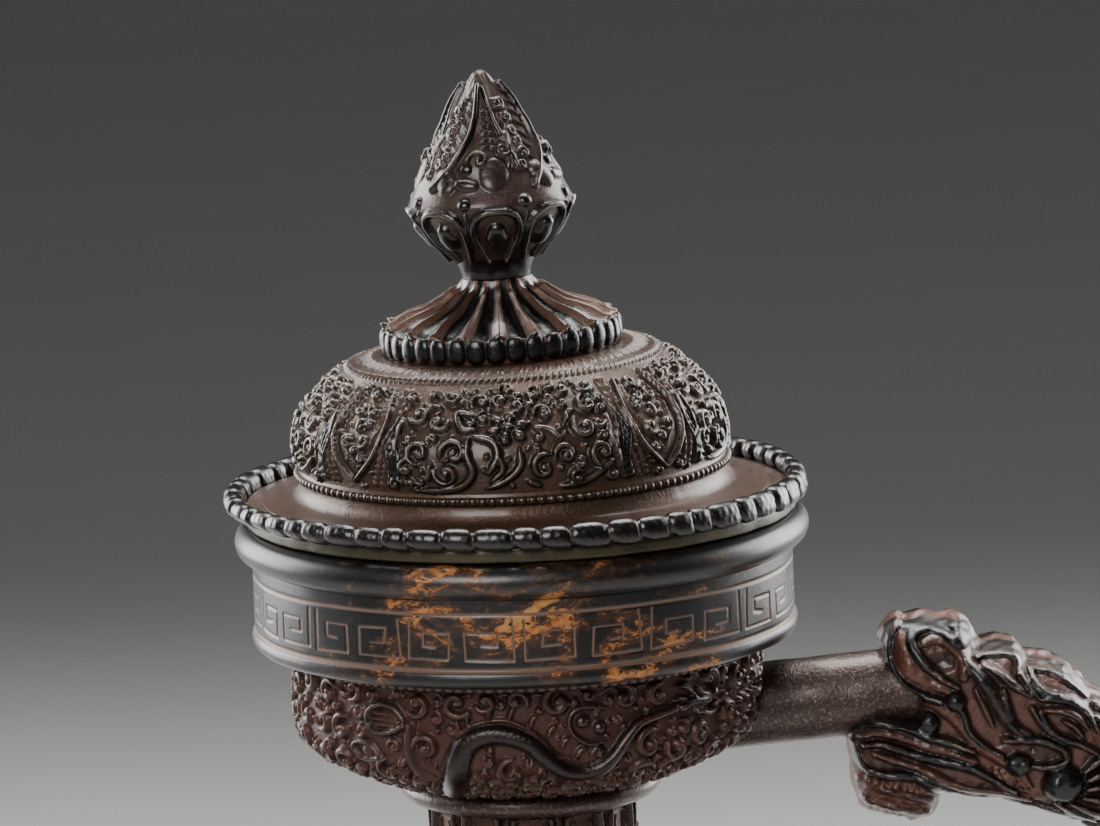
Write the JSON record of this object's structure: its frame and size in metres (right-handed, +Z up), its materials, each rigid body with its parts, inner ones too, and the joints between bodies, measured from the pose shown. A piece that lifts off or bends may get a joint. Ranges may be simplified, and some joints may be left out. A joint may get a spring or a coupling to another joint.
{
  "type": "ewer",
  "caption": "Covered bronze ewer: domed lid with lotus bud finial, key band mouth, dragon head handle, curved spout and flared lotus foot.",
  "frame": {"origin": "middle of the resting face of the foot", "axes": "+Z up along the vessel's axis, +X towards the handle, -X towards the spout"},
  "size_m": [0.236, 0.1358, 0.3],
  "materials": {
    "dark_bronze": "dark brown-black patina, polished on the raised parts",
    "brown_bronze": "reddish brown patina with dark raised relief",
    "olive_bronze": "olive to golden brown ground under near-black relief",
    "worn_gilt_bronze": "black patina with worn orange and gold patches",
    "greenish_brass": "dull greenish brass",
    "speckled_bronze": "dark brown, finely speckled, polished on top",
    "bare_brass": "unpatinated brass, scuffed"
  },
  "bodies": {
    "vessel": {"foot_rim": "dark_bronze", "base_plate": "bare_brass", "foot": "brown_bronze", "stem_ring": "dark_bronze", "belly_lower": "brown_bronze", "belly_upper": "brown_bronze", "belly_band": "worn_gilt_bronze", "shoulder_lotus": "brown_bronze", "neck": "brown_bronze", "neck_ring_lower": "dark_bronze", "neck_ring_upper": "dark_bronze", "mouth_bulb": "brown_bronze", "collar_bead_wire": "dark_bronze", "key_collar": "worn_gilt_bronze", "mouth_roll": "worn_gilt_bronze", "handle_tube": "speckled_bronze", "dragon_head": "brown_bronze", "handle_body": "brown_bronze", "handle_plate": "brown_bronze", "handle_rivets": "dark_bronze", "spout_mask": "brown_bronze", "spout_rivets": "dark_bronze", "spout_lower": "brown_bronze", "spout_ring": "dark_bronze", "spout_upper": "brown_bronze", "spout_lip": "dark_bronze"},
    "lid": {"lid_bezel": "bare_brass", "lid_seat_ring": "greenish_brass", "lid_dome": "olive_bronze", "lid_bead_rim": "dark_bronze", "finial_foot": "dark_bronze", "finial_washer": "bare_brass", "finial_bud": "dark_bronze"}
  },
  "joints": [
    {"name": "lid_lift", "type": "slide", "parent": "vessel", "child": "lid", "axis": [0, 0, 1], "range_m": [0, 0.05]}
  ]
}
